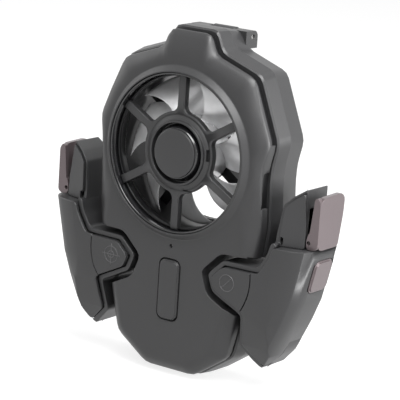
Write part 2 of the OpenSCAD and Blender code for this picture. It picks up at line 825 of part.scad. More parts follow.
// Rounded body that the grip's cap, key and tray are cut from
outer_line = [[40.5, -90], [44.6, -81.8], [49.8, -75.6], [56.5, -61.5], [60.2, -52], [65.25, grip_top_z], [66.4, -24]];

function dome_line(shift) = concat([[2, -24], [2, -90]], [for (q = outer_line) [q[0] - shift, q[1]]]);

// Outer side rolls over to the front; the lower end rolls back; the front lies drop behind grip_d
module grip_dome(drop = 0) {
    intersection() {
        loft([dome_line(24), dome_line(13), dome_line(6.5), dome_line(2.8), dome_line(0.9), dome_line(0),
              dome_line(0), dome_line(2.4)],
             [grip_d - 1, grip_d, 2.4, 4.6, 7.6, 12, grip_end_d - 3, grip_end_d]);
        translate([0, -seat_d, 0]) rotate([90, 0, 90]) linear_extrude(height = 100) polygon([
            [grip_d + drop, -20], [grip_d + drop, -54], [1.6 + drop, -60], [3 + drop, -66],
            [5.2 + 0.7 * drop, -73], [8.4 + 0.2 * drop, -79.5], [11.5, -84], [16, -88], [60, -88], [60, -20]]);
    }
}

seam_x = 17.8;
seam_z = -45.3;
seam_r = 22.7;
heel_z = -70.5;
heel_d = 15;
horn_turn = 17;
horn_lean = 3;
horn_front_d = 4.6;
horn_end_d = 25;
board_d = 13;
board_end_d = board_d + board_t;
switch_d = 16.5;

// Half-space in front of the tilted horn plate, moved back by t
module horn_front(t) {
    translate([48, horn_front_d + t - seat_d, grip_top_z]) rotate([-horn_lean, 0, horn_turn])
        translate([-60, -50, -60]) cube([120, 50, 120]);
}

// Half-space behind the horn plate, and the plate's outline
module horn_back() {
    difference() {
        block(0, far, -far, far, -far, far);
        horn_front(grip_t + 0.2);
    }
}

plate_plan = [[58.3, -7.2], [54, -10.3], [50.9, -13.6], [50, -24], [50.4, -27.6], [50.4, grip_top_z + 0.1],
    [60, grip_top_z + 0.1], [60, -21]];

screw_grip = [[50.4, -64.4], [57, -35.6]];
window_z0 = grip_top_z + 0.6;
window_z1 = -13.5;
web_z = grip_top_z - 3;

// Slot for the neck of the circuit board, which runs up into the horn
module board_slot() {
    block(50.2, 56, board_d - seat, board_end_d + seat, web_z - 3, -14.2);
}

// Outline of the cap, drawn past the dome on its outer side
function cap_line(gap) = concat(inner_side(lip_w + gap), [for (i = [9:11]) grow(grip_plan, 3)[i]], [[70, grip_top_z]]);

// Room that the cap's skin takes
module cap_room() {
    difference() {
        layer(-5, 60) polygon(cap_line(0));
        intersection() {
            translate([-grip_t - 0.1, grip_t + 0.1, 0]) grip_dome();
            block(0, 90, -5, far, -far, grip_top_z - grip_t - 0.1);
        }
        block(0, 90, heel_d + 0.1, 60, -90, heel_z);
        block(0, 90, grip_end_d - 0.05, 60, -90, 0);
    }
}

// Room for the side button's flange and its travel behind the skin
flange_t = 0.9;
module button_room() {
    side_frame() side_slab(-grip_t - flange_t - side_travel - 0.4, -grip_t, side_w + 2, side_l + 2, 3.3);
}

// Grip tray: border, inner wall, back wall and the shell of the horn
module tray() {
    outline = soften(concat([[50.2, grip_top_z - grip_t - 0.1], [50.2, grip_top_z + 1.4]], raised([[48, grip_top_z]], 1.4),
        [for (i = [1:8]) inner_side(0)[i]], outer_side(grip_t + 0.1)), 1.6);
    hollow = concat([[50.2, web_z - 1]], inner_side(lip_w), [[56, -81], [56, -76], [90, heel_z], [90, web_z - 1]]);
    color(matte_grey) {
        difference() {
            union() {
                difference() {
                    intersection() {
                        layer(0, grip_end_d - eps) polygon(outline);
                        grip_dome(lip_drop);
                    }
                    layer(-5, grip_end_d - grip_t) polygon(soften(hollow, 1.2));
                    cap_room();
                }
                // Heel: the tray's own outer wall below the cap
                difference() {
                    intersection() {
                        layer(heel_d + 0.1, grip_end_d - eps) polygon(soften(grip_plan, 1.6));
                        grip_dome(lip_drop);
                        block(20, 70, 0, 60, -90, heel_z - 0.1);
                    }
                    layer(-5, grip_end_d - grip_t) polygon(concat(inner_side(lip_w), outer_side(lip_w)));
                }
                // Sockets for the guide rods
                intersection() {
                    block(34, 47, 12.6, grip_end_d - 1, -rod_low_z - 3, -rod_top_z + 3.5);
                    layer(-5, grip_end_d) polygon(concat(inner_side(1), outer_side(3)));
                }
                for (s = screw_grip) bar_y(grip_end_d - 5, grip_end_d - 1, 2.6, s[0], s[1]);
                block(49.9, 58, horn_end_d - grip_t + 0.1, grip_end_d - 0.5, web_z - 2, grip_top_z + 1);
            }
            board_slot();
            button_room();
            for (s = screw_grip) {
                bar_y(0, far, screw_r + 0.2, s[0], s[1]);
                bar_y(grip_end_d - 1.2, far, screw_head_r + 0.1, s[0], s[1]);
            }
        }
        // Horn shell with the window behind the trigger
        difference() {
            layer(0, horn_end_d) polygon(soften(horn_plan, 0.8));
            layer(-5, horn_end_d - grip_t) polygon(grow(horn_plan, -grip_t));
            horn_front(1.2);
            difference() {
                layer(-5, 20) polygon(grow(plate_plan, fit));
                translate([0, fit, 0]) horn_back();
            }
            block(56, 70, 12.6, 22.9, window_z0, window_z1);
            bar_y(5, 40, 0.7, 57, -9.6);
            board_slot();
        }
        // Lugs that hold the trigger pin
        difference() {
            for (d = [11, 23]) block(57.2, 63, d, d + 1.5, trigger_z - 2.2, trigger_z + 2.2);
            bar_y(5, 24, trigger_pin_r + 0.01, trigger_x, trigger_z);
        }
    }
}

module grip_tray(side, d) {
    difference() {
        hand(side) tray();
        hand(side) for (z = [-rod_top_z, -rod_low_z]) bar_x(20, rod_x1 + 0.2, rod_r + 0.02, d, z);
    }
}

// Front plate of the horn
module horn_plate(side) {
    color(matte_grey) hand(side) difference() {
        layer(-5, 20) polygon(soften(plate_plan, 0.8));
        horn_front(0);
        horn_back();
        translate([50.7, 0, -27.2]) rotate([90, 0, 0]) linear_extrude(height = 60, center = true)
            round_rect(1.6, 3.2, 0.75);
    }
}

// Grip cap: the outer skin of the grip
module cap(side) {
    outline = soften(cap_line(fit), 1.4);
    color(matte_grey) hand(side) difference() {
        union() {
            difference() {
                intersection() {
                    layer(0, grip_end_d - 0.1) polygon(outline);
                    grip_dome();
                }
                intersection() {
                    translate([-grip_t, grip_t, 0]) grip_dome();
                    block(0, 90, -5, far, -far, grip_top_z - grip_t);
                }
                block(0, 70, heel_d, 60, -90, heel_z);
            }
            for (s = screw_grip) intersection() {
                bar_y(2, grip_end_d - 5.1, 2.2, s[0], s[1]);
                translate([-0.7, 0.7, 0]) grip_dome();
            }
        }
        bar_y(-5, far, seam_r + key_gap / 2, seam_x, seam_z);
        for (s = screw_grip) bar_y(9, far, screw_r + fit, s[0], s[1]);
        side_frame() rotate([0, 90, 0]) linear_extrude(height = 20, center = true)
            round_rect(side_l + 2 * key_gap, side_w + 2 * key_gap, 3);
        button_room();
        board_slot();
        block(58.3, 70, 8, 60, trigger_z - 2.6, -20);
        block(40, 58.3, horn_end_d - grip_t - 0.2, 60, web_z - 2.3, -20);
    }
}

// Icon key beside the cap
icon_x = 29.5;
icon_z = -48;

module icon_key(side) {
    key_end = board_d - 2 - icon_travel - seat;
    color(matte_grey) hand(side) {
        intersection() {
            layer(0, grip_d + grip_t + 2.4) polygon(soften(inner_side(lip_w + key_gap), 1.6));
            bar_y(-5, far, seam_r - key_gap / 2, seam_x, seam_z);
            grip_dome();
        }
        bar_y(grip_d + grip_t + 2.3, key_end, 1.6, icon_x, icon_z);
    }
}

// Side button set in the cap's outer skin; its own frame has X pointing out of the skin
side_mid_x = 62.66;
side_mid_z = -41;
side_mid_d = 17.8;
side_lean = 12.6;

module side_frame() {
    translate([side_mid_x, side_mid_d - seat_d, side_mid_z]) rotate([0, side_lean, 0]) children();
}

module side_slab(x0, x1, w, l, r) {
    translate([x0, 0, 0]) rotate([0, 90, 0]) linear_extrude(height = x1 - x0) round_rect(l, w, r);
}

module side_button(side) {
    color(pearl) hand(side) side_frame() {
        side_slab(side_up - 0.6, side_up, side_w - 1.2, side_l - 1.2, 2.4);
        side_slab(-grip_t - 0.2, side_up - 0.6 + eps, side_w, side_l, 2.8);
        side_slab(-grip_t - 0.05 - flange_t, -grip_t - 0.05, side_w + 1.2, side_l + 1.2, 3);
        side_slab(-4.4, -grip_t - flange_t, 4, 4, 1);
    }
}

// Trigger: skin, front flange and pivot barrel
trigger_x = 61.6;
trigger_z = -26.4;
trigger_out_x = 65.9;
trigger_skin = [[9.2, -11], [11.4, -7.9], [24, -7.4], [26.6, -9.4], [26.2, -16], [23.8, -28.6], [22, -29.1],
    [11, -29.1], [9.2, -27.6]];
trigger_flange = [[trigger_out_x, -9.8], [64.6, -7.8], [63.2, -8.4], [61.8, -22.4], [61.2, -22.8], [60.5, -25.8], [60.5, -27.6],
    [61.2, -29.1], [64.5, -29.1], [trigger_out_x, -27.8]];

module trigger(side) {
    color(pearl) hand(side) difference() {
        union() {
            translate([trigger_out_x - trigger_t, -seat_d, 0]) rotate([90, 0, 90])
                linear_extrude(height = trigger_t) polygon(soften(trigger_skin, 1.4));
            layer(8.8, 8.8 + trigger_t) polygon(soften(trigger_flange, 0.8));
            bar_y(12.8, 20, 2.1, trigger_x, trigger_z);
            block(trigger_x, trigger_out_x - 1, 12.8, 20, trigger_z - 2.1, trigger_z + 2.1);
            block(59.9, trigger_out_x - 1, switch_d - 2, switch_d + 2, -17.5, -14.5);
        }
        bar_y(-5, far, trigger_pin_r + 0.05, trigger_x, trigger_z);
    }
}

module trigger_pin(side) {
    color(steel) hand(side) bar_y(11.2, 23.9, trigger_pin_r, trigger_x, trigger_z);
}

module trigger_spring(side) {
    color(steel) hand(side) difference() {
        bar_y(20.3, 22.9, 1.9, trigger_x, trigger_z);
        bar_y(-5, far, trigger_pin_r + fit, trigger_x, trigger_z);
    }
}

// Circuit board of a grip and the switches on it
module grip_board(side) {
    color(board_green) hand(side) difference() {
        layer(board_d, board_end_d) polygon([[24.5, -44.4], [44.5, -43], [50.5, -34], [50.5, -14.6], [55.6, -14.6],
            [55.6, -30], [54.6, -36], [54.6, -58.6], [36, -58.6], [24.5, -51.8]]);
        for (s = screw_grip) bar_y(-5, far, 2.7, s[0], s[1]);
    }
}

module switches(side) {
    color(steel) hand(side) {
        block(icon_x - 2.5, icon_x + 2.5, board_d - 1.6, board_d, icon_z - 2.5, icon_z + 2.5);
        bar_y(board_d - 2, board_d - 1.5, 1.3, icon_x, icon_z);
        block(52.6, 56.6, board_end_d, board_end_d + 4.6, side_mid_z - 1.4, side_mid_z + 4);
        block(53, 57.6, board_end_d, board_end_d + 4.6, -18.6, -13.6);
    }
}

module grip_screws(side) {
    color(steel) hand(side) for (s = screw_grip) translate([s[0], 0, s[1]]) difference() {
        union() {
            bar_y(grip_end_d - 1.2, grip_end_d - 0.1, screw_head_r - 0.1);
            bar_y(10, grip_end_d - 1.2 + eps, screw_r);
        }
        block(-1.5, 1.5, grip_end_d - 0.6, far, -0.3, 0.3);
        block(-0.3, 0.3, grip_end_d - 0.6, far, -1.5, 1.5);
    }
}

// Phone jaw behind each grip, with its rubber end pad and the touch pad under its hook
jaw_pad_t = 0.8;
jaw_t = 2.4;
jaw_z0 = -50;
jaw_z1 = -31;
jaw_end_d = seat_d + phone_t + 2.8;

module jaw(side) {
    x0 = jaw_x + jaw_pad_t;
    color(matte_grey) hand(side) {
        block(x0, x0 + jaw_t, grip_end_d - 0.005, jaw_end_d, jaw_z0, jaw_z1);
        block(x0 - 3.6, x0 + jaw_t, jaw_end_d - 1.8, jaw_end_d, jaw_z0, jaw_z1);
        difference() {
            block(x0, 56, grip_end_d - 0.005, grip_end_d + 1.8, jaw_z0, jaw_z1);
            bar_y(0, far, screw_head_r + 0.4, screw_grip[1][0], screw_grip[1][1]);
        }
    }
}

module jaw_pad(side) {
    color(soft_black) hand(side)
        block(jaw_x, jaw_x + jaw_pad_t, grip_end_d + 0.6, jaw_end_d - 1.8 - 0.8, jaw_z0 + 1, jaw_z1 - 1);
}

module touch_pad(side) {
    color(soft_black) hand(side)
        block(jaw_x - 2.4, jaw_x + 0.6, jaw_end_d - 1.8 - 0.6, jaw_end_d - 1.8, -44, -38);
}

front_cover();
trim_band();
mid_frame();
rear_housing();
duct_ring();
fan_guard();
hub_cap();
fan_frame();
stator();
bearing();
rotor_shaft();
rotor_magnet();
fan_rotor();
main_board();
battery();
usb_socket();
led_lens();
power_switch();
power_key();
seat_pad();
case_screws();
rail_block(-1, rod_left_d, shelf_end_d, rod_left_d + spring_r + rail_wall);  // left_rail_block
rail_block(1, rod_right_d, rod_right_d - spring_r - rail_wall, rear_in_d);  // right_rail_block
clamp_pin();
clamp_arm();
clamp_pad();
grip_tray(1, rod_right_d);  // right_tray
cap(1);  // right_cap
horn_plate(1);  // right_horn_plate
icon_key(1);  // right_icon_key
trigger(1);  // right_trigger
trigger_pin(1);  // right_trigger_pin
trigger_spring(1);  // right_trigger_spring
side_button(1);  // right_side_button
grip_board(1);  // right_board
switches(1);  // right_switches
rods(1, rod_right_d);  // right_rods
slide_springs(1, rod_right_d);  // right_slide_springs
grip_screws(1);  // right_screws
jaw(1);  // right_jaw
jaw_pad(1);  // right_jaw_pad
touch_pad(1);  // right_touch_pad
grip_tray(-1, rod_left_d);  // left_tray
cap(-1);  // left_cap
horn_plate(-1);  // left_horn_plate
icon_key(-1);  // left_icon_key
trigger(-1);  // left_trigger
trigger_pin(-1);  // left_trigger_pin
trigger_spring(-1);  // left_trigger_spring
side_button(-1);  // left_side_button
grip_board(-1);  // left_board
switches(-1);  // left_switches
rods(-1, rod_left_d);  // left_rods
slide_springs(-1, rod_left_d);  // left_slide_springs
grip_screws(-1);  // left_screws
jaw(-1);  // left_jaw
jaw_pad(-1);  // left_jaw_pad
touch_pad(-1);  // left_touch_pad
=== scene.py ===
"""Phone cooling fan with sliding game grips, dressed round its CAD frame. Metres; +Z up, the fan faces -Y."""
import math

import bmesh
import bpy
import numpy as np
from mathutils import Matrix, Vector


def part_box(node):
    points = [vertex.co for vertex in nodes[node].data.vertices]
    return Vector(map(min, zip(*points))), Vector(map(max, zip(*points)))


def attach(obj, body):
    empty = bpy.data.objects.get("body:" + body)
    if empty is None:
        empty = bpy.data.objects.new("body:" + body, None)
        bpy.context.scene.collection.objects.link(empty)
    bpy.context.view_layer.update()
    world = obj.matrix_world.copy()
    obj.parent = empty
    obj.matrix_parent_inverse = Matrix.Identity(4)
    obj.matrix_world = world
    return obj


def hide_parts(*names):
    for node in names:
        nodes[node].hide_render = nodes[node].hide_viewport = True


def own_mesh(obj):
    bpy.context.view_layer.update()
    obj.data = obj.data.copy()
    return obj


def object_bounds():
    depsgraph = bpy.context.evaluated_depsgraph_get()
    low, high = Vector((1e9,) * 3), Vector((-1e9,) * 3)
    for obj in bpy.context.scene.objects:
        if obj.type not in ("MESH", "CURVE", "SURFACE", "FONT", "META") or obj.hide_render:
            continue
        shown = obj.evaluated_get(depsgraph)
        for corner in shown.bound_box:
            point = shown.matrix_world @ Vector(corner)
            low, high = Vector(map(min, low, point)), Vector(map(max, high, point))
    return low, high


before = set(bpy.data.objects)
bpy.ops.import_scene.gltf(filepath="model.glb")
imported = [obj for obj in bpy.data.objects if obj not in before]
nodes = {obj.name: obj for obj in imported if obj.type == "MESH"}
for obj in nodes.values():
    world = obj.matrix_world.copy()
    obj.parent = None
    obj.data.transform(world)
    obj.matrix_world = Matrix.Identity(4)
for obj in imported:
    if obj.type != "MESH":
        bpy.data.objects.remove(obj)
cad_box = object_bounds()
scene = bpy.context.scene

# Camera: a long lens to the right of the fan and a little above it, rolled by a few degrees.
# Its place was solved from pairs of points that mirror each other across the object.
turn, rise, roll = math.radians(35.14005), math.radians(12.90142), math.radians(3.79811)
back = Vector((math.sin(turn) * math.cos(rise), -math.cos(turn) * math.cos(rise), math.sin(rise)))
level = Vector((math.cos(turn), math.sin(turn), 0))
over = back.cross(level)
right = math.cos(roll) * level + math.sin(roll) * over
up = -math.sin(roll) * level + math.cos(roll) * over
camera = bpy.data.objects.new("camera", bpy.data.cameras.new("camera"))
camera.data.lens = 183.98387
camera.data.sensor_width = 36
camera.data.clip_start = 0.05
camera.data.clip_end = 20
camera.matrix_world = (Matrix.Translation((0.47370971, -0.68229010, 0.16630386))
                       @ Matrix((right, up, back)).transposed().to_4x4())
scene.collection.objects.link(camera)
scene.camera = camera
scene.view_settings.view_transform = "Standard"

# Studio: a white surround and a pale floor just under the body, with broad soft lamps. The surround
# is white to the eye and in reflections, and dimmer as a source of light.


def level_by_ray(tree, rays, low, high):
    """A number for a shader: high where the ray is of one of the named kinds, low for all other rays. It is
    the largest of the kinds' marks, each 0 or 1, spread over low to high."""
    path = tree.nodes.new("ShaderNodeLightPath")
    mark = path.outputs[rays[0]]
    for ray in rays[1:]:
        either = tree.nodes.new("ShaderNodeMath")
        either.operation = "MAXIMUM"
        tree.links.new(mark, either.inputs[0])
        tree.links.new(path.outputs[ray], either.inputs[1])
        mark = either.outputs[0]
    spread_out = tree.nodes.new("ShaderNodeMapRange")
    spread_out.inputs["To Min"].default_value = low
    spread_out.inputs["To Max"].default_value = high
    tree.links.new(mark, spread_out.inputs["Value"])
    return spread_out.outputs["Result"]


world = bpy.data.worlds.new("surround")
world.use_nodes = True
scene.world = world
tree = world.node_tree
sky = tree.nodes["Background"]
sky.inputs["Color"].default_value = (1, 1, 1, 1)
sky_level = level_by_ray(tree, ("Is Camera Ray", "Is Transmission Ray", "Is Glossy Ray"), 0.35, 1.0)
tree.links.new(sky_level, sky.inputs["Strength"])


def lamp(name, place, size, power):
    """A square soft lamp that looks at the middle of the object."""
    light = bpy.data.lights.new(name, "AREA")
    light.size = size
    light.energy = power
    lamp_object = bpy.data.objects.new(name, light)
    aim = Vector((0, -0.015, -0.02)) - Vector(place)
    facing = aim.to_track_quat("-Z", "Y").to_matrix().to_4x4()
    lamp_object.matrix_world = Matrix.Translation(place) @ facing
    scene.collection.objects.link(lamp_object)


lamp("lamp_above", (0.5, -0.2, 0.95), 0.8, 16)
lamp("lamp_right", (1.2, 0.2, 0.1), 0.7, 24)
lamp("lamp_left", (-1.0, -0.2, 0.35), 0.7, 2)
lamp("lamp_front", (0.3, -0.4, 0.48), 0.4, 2.8)

floor_z, floor_half, squares = cad_box[0][2] - 0.0005, 4, 8
rows = np.linspace(-floor_half, floor_half, squares + 1)
gx, gy = np.meshgrid(rows, rows, indexing="ij")
floor_points = np.stack([gx, gy, np.full_like(gx, floor_z)], -1).reshape(-1, 3)
corner = (np.arange(squares)[:, None] * (squares + 1) + np.arange(squares)).ravel()
floor_quads = np.stack([corner, corner + squares + 1, corner + squares + 2, corner + 1], 1)
floor_mesh = bpy.data.meshes.new("floor")
floor_mesh.from_pydata(floor_points.tolist(), [], floor_quads.tolist())
floor = bpy.data.objects.new("floor", floor_mesh)
scene.collection.objects.link(floor)
pale = bpy.data.materials.new("pale_floor")
pale.use_nodes = True
tree = pale.node_tree
tree.nodes.remove(tree.nodes["Principled BSDF"])
matte = tree.nodes.new("ShaderNodeBsdfDiffuse")
matte.inputs["Color"].default_value = (0.3, 0.3, 0.3, 1)
lit = tree.nodes.new("ShaderNodeEmission")
floor_level = level_by_ray(tree, ("Is Camera Ray", "Is Glossy Ray"), 0.0, 0.8)
tree.links.new(floor_level, lit.inputs["Strength"])
both = tree.nodes.new("ShaderNodeAddShader")
tree.links.new(matte.outputs[0], both.inputs[0])
tree.links.new(lit.outputs[0], both.inputs[1])
tree.links.new(both.outputs[0], tree.nodes["Material Output"].inputs["Surface"])
floor_mesh.materials.append(pale)

# Housing: front cover, mid frame and rear housing are injection-moulded ABS with a fine spark-eroded
# grain, pushed into each other and held by screws from the back. Their moulded edges are rounded.
grain = bpy.data.node_groups.new("moulded_grain", "ShaderNodeTree")
for title, kind, side, value in (
        ("Tint", "NodeSocketColor", "INPUT", (0.1, 0.1, 0.1, 1)), ("Spread", "NodeSocketFloat", "INPUT", 0.1),
        ("Roughness", "NodeSocketFloat", "INPUT", 0.45), ("Grain Size", "NodeSocketFloat", "INPUT", 2500.0),
        ("Tint", "NodeSocketColor", "OUTPUT", None), ("Roughness", "NodeSocketFloat", "OUTPUT", None),
        ("Height", "NodeSocketFloat", "OUTPUT", None)):
    socket = grain.interface.new_socket(title, in_out=side, socket_type=kind)
    if value is not None:
        socket.default_value = value
group_in, group_out = grain.nodes.new("NodeGroupInput"), grain.nodes.new("NodeGroupOutput")
where = grain.nodes.new("ShaderNodeTexCoord")
cloud = grain.nodes.new("ShaderNodeTexNoise")
cloud.inputs["Scale"].default_value = 38
cloud.inputs["Detail"].default_value = 3
speck = grain.nodes.new("ShaderNodeTexNoise")
speck.inputs["Detail"].default_value = 2
grain.links.new(where.outputs["Object"], cloud.inputs["Vector"])
grain.links.new(where.outputs["Object"], speck.inputs["Vector"])
grain.links.new(group_in.outputs["Grain Size"], speck.inputs["Scale"])
blend_noise = grain.nodes.new("ShaderNodeMath")
blend_noise.operation = "MULTIPLY_ADD"
blend_noise.inputs[1].default_value = 0.5
grain.links.new(cloud.outputs["Fac"], blend_noise.inputs[0])
halved = grain.nodes.new("ShaderNodeMath")
halved.operation = "MULTIPLY"
halved.inputs[1].default_value = 0.5
grain.links.new(speck.outputs["Fac"], halved.inputs[0])
grain.links.new(halved.outputs[0], blend_noise.inputs[2])
# The value of the tint runs from 1 - spread to 1 + spread.
low, high = grain.nodes.new("ShaderNodeMath"), grain.nodes.new("ShaderNodeMath")
low.operation, high.operation = "SUBTRACT", "ADD"
low.inputs[0].default_value = high.inputs[0].default_value = 1.0
grain.links.new(group_in.outputs["Spread"], low.inputs[1])
grain.links.new(group_in.outputs["Spread"], high.inputs[1])
swing = grain.nodes.new("ShaderNodeMapRange")
swing.inputs["From Min"].default_value = 0.3
swing.inputs["From Max"].default_value = 0.7
grain.links.new(blend_noise.outputs[0], swing.inputs["Value"])
grain.links.new(low.outputs[0], swing.inputs["To Min"])
grain.links.new(high.outputs[0], swing.inputs["To Max"])
tinted = grain.nodes.new("ShaderNodeVectorMath")
tinted.operation = "SCALE"
grain.links.new(group_in.outputs["Tint"], tinted.inputs[0])
grain.links.new(swing.outputs["Result"], tinted.inputs["Scale"])
grain.links.new(tinted.outputs[0], group_out.inputs["Tint"])
rougher = grain.nodes.new("ShaderNodeMath")
rougher.operation = "MULTIPLY"
grain.links.new(group_in.outputs["Roughness"], rougher.inputs[0])
grain.links.new(swing.outputs["Result"], rougher.inputs[1])
grain.links.new(rougher.outputs[0], group_out.inputs["Roughness"])
grain.links.new(speck.outputs["Fac"], group_out.inputs["Height"])


def plastic(name, tint, roughness, spread=0.1, size=2500.0, depth=0.00001, coat=0.0, metal=0.0):
    """A moulded finish: the grain group varies its colour and roughness, and gives the height of a fine
    bump of the given depth in metres."""
    made = bpy.data.materials.new(name)
    made.use_nodes = True
    tree = made.node_tree
    shader = tree.nodes["Principled BSDF"]
    shader.inputs["Metallic"].default_value = metal
    shader.inputs["Coat Weight"].default_value = coat
    shader.inputs["Coat Roughness"].default_value = 0.08
    mould = tree.nodes.new("ShaderNodeGroup")
    mould.node_tree = grain
    mould.inputs["Tint"].default_value = (*tint, 1)
    mould.inputs["Roughness"].default_value = roughness
    mould.inputs["Spread"].default_value = spread
    mould.inputs["Grain Size"].default_value = size
    bump = tree.nodes.new("ShaderNodeBump")
    bump.inputs["Strength"].default_value = 0.35
    bump.inputs["Distance"].default_value = depth
    tree.links.new(mould.outputs["Height"], bump.inputs["Height"])
    tree.links.new(mould.outputs["Tint"], shader.inputs["Base Color"])
    tree.links.new(mould.outputs["Roughness"], shader.inputs["Roughness"])
    tree.links.new(bump.outputs["Normal"], shader.inputs["Normal"])
    return made


def paint(material, *names):
    """Gives CAD nodes a material in place of their own."""
    for name in names:
        mesh = nodes[name].data
        mesh.materials.clear()
        mesh.materials.append(material)


def eased(node, body, material, width=0.0003, angle=26, segments=2, clamp=True):
    """A copy of a CAD node with rounded edges: its triangles are merged, flat neighbours joined into one
    face, and a bevel of the given width runs along every edge that is sharper than the angle. With clamp
    the bevel narrows where edges lie close. Without it the width stays, and edges that run along y, where
    it would fold over itself, are left sharp."""
    near, flat_angle, most_y = 2e-6, math.radians(0.6), 0.6
    mesh = nodes[node].data.copy()
    work = bmesh.new()
    work.from_mesh(mesh)
    bmesh.ops.remove_doubles(work, verts=work.verts, dist=near)
    bmesh.ops.dissolve_degenerate(work, dist=near, edges=work.edges)
    bmesh.ops.dissolve_limit(work, angle_limit=flat_angle, verts=work.verts, edges=work.edges)
    if not clamp:
        weight = work.edges.layers.float.new("bevel_weight_edge")
        for edge in work.edges:
            run = (edge.verts[1].co - edge.verts[0].co).normalized()
            sharp = edge.calc_face_angle(0) > math.radians(angle)
            edge[weight] = 1.0 if sharp and abs(run.y) < most_y else 0.0
    work.to_mesh(mesh)
    work.free()
    mesh.materials.clear()
    mesh.materials.append(material)
    mesh.polygons.foreach_set("use_smooth", np.ones(len(mesh.polygons), bool))
    piece = bpy.data.objects.new(node + "_moulding", mesh)
    scene.collection.objects.link(piece)
    bevel = piece.modifiers.new("rounded_edges", "BEVEL")
    bevel.limit_method = "ANGLE" if clamp else "WEIGHT"
    bevel.angle_limit = math.radians(angle)
    bevel.width = width
    bevel.segments = segments
    bevel.use_clamp_overlap = clamp
    bevel.miter_outer = "MITER_ARC"
    flats = piece.modifiers.new("flat_faces", "WEIGHTED_NORMAL")
    flats.keep_sharp = True
    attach(piece, body)
    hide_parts(node)
    return piece


matte_grey = plastic("matte_grey_plastic", (0.025, 0.025, 0.026), 0.4, spread=0.1, size=1800.0, depth=0.00002)
eased("front_cover", "body", matte_grey, 0.0004, segments=3, clamp=False)
eased("mid_frame", "body", matte_grey, 0.0005)
eased("rear_housing", "body", matte_grey, 0.0005)

gloss_black = plastic("gloss_black_plastic", (0.008, 0.008, 0.009), 0.16, spread=0.15, size=600.0,
                      depth=0.000002, coat=0.4)
# A black for the duct's own walls that is also painted shade: the trim band and the guard's rim take it where
# the real parts lie in shade. Its low specular keeps that shade from showing reflections.
black_for_duct_and_shade = plastic("black_plastic_duct_and_painted_shade", (0.006, 0.006, 0.0065), 0.34, spread=0.15, size=600.0,
                     depth=0.000002)
black_for_duct_and_shade.node_tree.nodes["Principled BSDF"].inputs["Specular IOR Level"].default_value = 0.25
# Painted shade: the trim band is a black strip set in the slot between the front cover and the mid frame,
# where there is only shade.
paint(black_for_duct_and_shade, "trim_band", "fan_frame")
steel = plastic("bright_steel", (0.62, 0.61, 0.6), 0.28, spread=0.12, size=1800.0, depth=0.000004, metal=1.0)
paint(steel, "case_screws", "bearing", "rotor_shaft", "clamp_pin")

# Fan guard: hub, six flat spokes and a thin rim in one moulding, snapped into the duct liner. The recess
# of its hub is polished black, and the plug pressed into it is matte. All its edges are rounded.


def new_piece(name, points, quads, material, body):
    """Puts arrays of points and of corner numbers into a mesh, merges points that meet, closes open ends,
    and lets the piece ride on a body."""
    mesh = bpy.data.meshes.new(name)
    mesh.from_pydata(points.reshape(-1, 3).tolist(), [], quads.tolist())
    work = bmesh.new()
    work.from_mesh(mesh)
    bmesh.ops.remove_doubles(work, verts=work.verts, dist=1e-6)
    bmesh.ops.dissolve_degenerate(work, dist=1e-7, edges=work.edges)
    bmesh.ops.holes_fill(work, edges=[edge for edge in work.edges if edge.is_boundary], sides=0)
    bmesh.ops.recalc_face_normals(work, faces=work.faces)
    work.to_mesh(mesh)
    work.free()
    mesh.polygons.foreach_set("use_smooth", np.ones(len(mesh.polygons), bool))
    mesh.materials.append(material)
    piece = bpy.data.objects.new(name, mesh)
    scene.collection.objects.link(piece)
    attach(piece, body)
    return piece


def woven(rows, cols, first=0, wrap_rows=False, wrap_cols=False):
    """Corner numbers of the quads of a grid of points: row by row, closed on itself where it wraps."""
    i = np.arange(rows if wrap_rows else rows - 1)[:, None]
    j = np.arange(cols if wrap_cols else cols - 1)[None, :]
    a, b = i * cols + j, i * cols + (j + 1) % cols
    c, d = (i + 1) % rows * cols + (j + 1) % cols, (i + 1) % rows * cols + j
    return np.stack([a, b, c, d], -1).reshape(-1, 4) + first


def turned(profile, steps=120):
    """A profile of (radius, y) points carried round the fan's axis: x = r cos a, z = r sin a."""
    r, y = np.array(profile, float).T
    a = np.linspace(0, 2 * np.pi, steps, endpoint=False)[:, None]
    return np.stack([r * np.cos(a), y + 0 * a, r * np.sin(a)], -1)


def turned_piece(name, profile, material, closed=True, steps=120):
    """A round piece of the body from a profile of (radius, depth) points; depth is counted backwards from
    the cover's front plane. A closed profile joins its last point to its first."""
    quads = woven(steps, len(profile), wrap_rows=True, wrap_cols=closed)
    return new_piece(name, turned([(r, d + front_y) for r, d in profile], steps), quads, material, "body")


front_y = -0.030  # the cover's front plane, where depth is 0
hub_edge, groove_r, collar_r = 0.017, 0.0123, 0.0134  # radii of the hub, of its recess and of the collar
spoke_half, spoke_end, root = 0.0018, 0.03193, 0.003  # half width and end of a spoke, radius of its root
tip_round = 0.0003  # how much a spoke's end corner is cut off
guard_front, guard_back = 0.003, 0.006  # depths of the guard's faces
front_round, back_round = 0.0005, 0.0003  # radii of the edges of these faces


